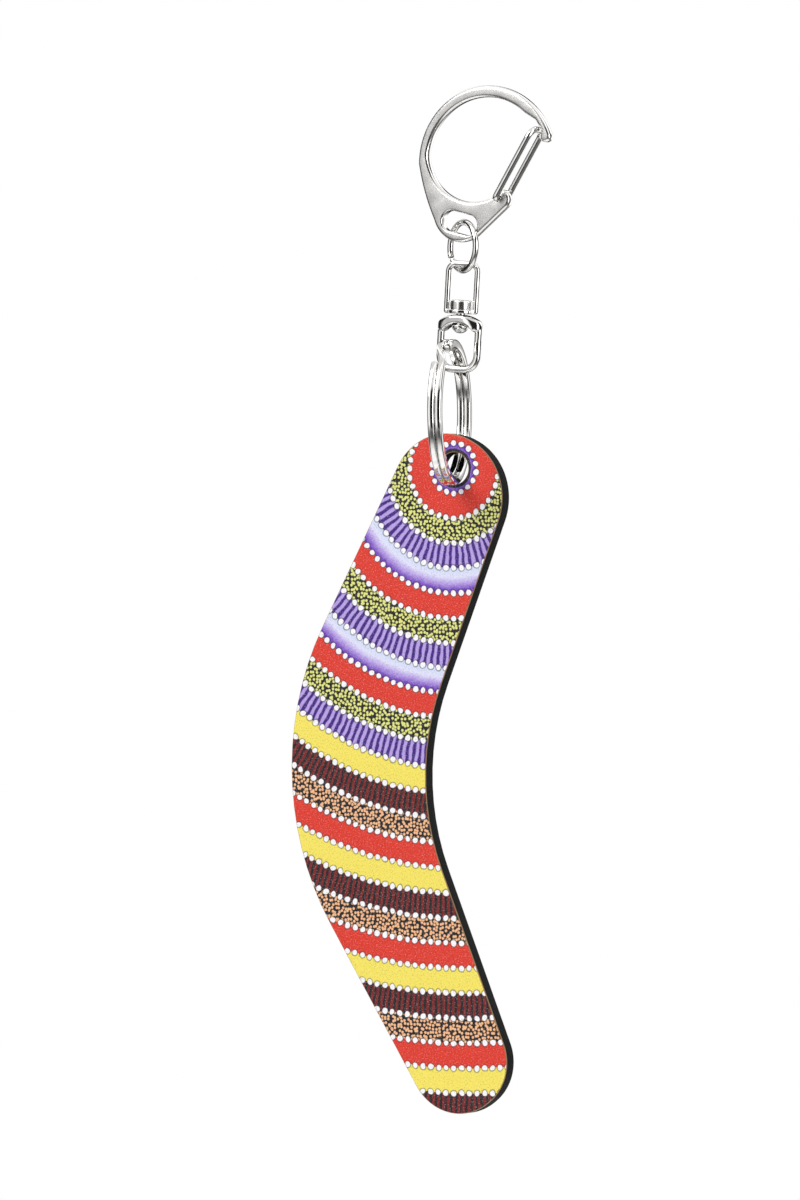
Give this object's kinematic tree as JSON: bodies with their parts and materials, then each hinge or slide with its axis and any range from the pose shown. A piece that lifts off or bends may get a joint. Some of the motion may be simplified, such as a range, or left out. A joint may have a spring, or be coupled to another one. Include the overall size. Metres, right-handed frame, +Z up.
{
  "type": "boomerang key ring",
  "caption": "Flat printed boomerang blade hanging from a split ring, a swivel and a sprung snap hook.",
  "frame": {"origin": "crown of the snap hook's opening, where a peg or belt loop carries the hanging key ring", "axes": "+Z up along the hanging chain, the printed face looks along -Y, +X to the right seen from the front"},
  "size_m": [0.0501, 0.0247, 0.1768],
  "materials": {
    "board": "matte",
    "print": "satin",
    "ring_steel": "polished",
    "swivel_metal": "polished",
    "hook_metal": "satin",
    "wire_metal": "polished"
  },
  "bodies": {
    "hook": {"hook_body": "hook_metal"},
    "gate": {"gate_wire": "wire_metal"},
    "jump": {"jump_ring": "wire_metal"},
    "upper_swivel": {"swivel_link": "swivel_metal", "swivel_rivet": "swivel_metal"},
    "lower_swivel": {"swivel_shackle": "swivel_metal"},
    "ring": {"split_ring": "ring_steel"},
    "blade": {"blade_core": "board", "front_print": "print"}
  },
  "joints": [
    {"name": "gate_pivot", "type": "hinge", "parent": "hook", "child": "gate", "pos_m": [0.00495, 0, -0.0176], "axis": [0, -1, 0], "range_deg": [0, 25], "stiffness_Nm_per_rad": 0.02, "springref_deg": -8.59},
    {"name": "jump_swing", "type": "hinge", "parent": "hook", "child": "jump", "pos_m": [-0.0023, 0, -0.0231], "axis": [1, 0, 0], "range_deg": [-20, 20]},
    {"name": "link_swing", "type": "hinge", "parent": "jump", "child": "upper_swivel", "pos_m": [-0.0023, 0, -0.0256], "axis": [0.515, 0.8572, 0], "range_deg": [-40, 40]},
    {"name": "swivel_spin", "type": "hinge", "parent": "upper_swivel", "child": "lower_swivel", "pos_m": [-0.0023, 0, -0.02975], "axis": [0.061, 0, 0.9981], "continuous": true},
    {"name": "ring_swing", "type": "hinge", "parent": "lower_swivel", "child": "ring", "pos_m": [-0.00334, 0, -0.04672], "axis": [0.9981, 0, -0.061], "range_deg": [-30, 90]},
    {"name": "blade_swing", "type": "hinge", "parent": "ring", "child": "blade", "pos_m": [-0.00334, 0, -0.06385], "axis": [0, 1, 0], "range_deg": [-60, 60]}
  ]
}
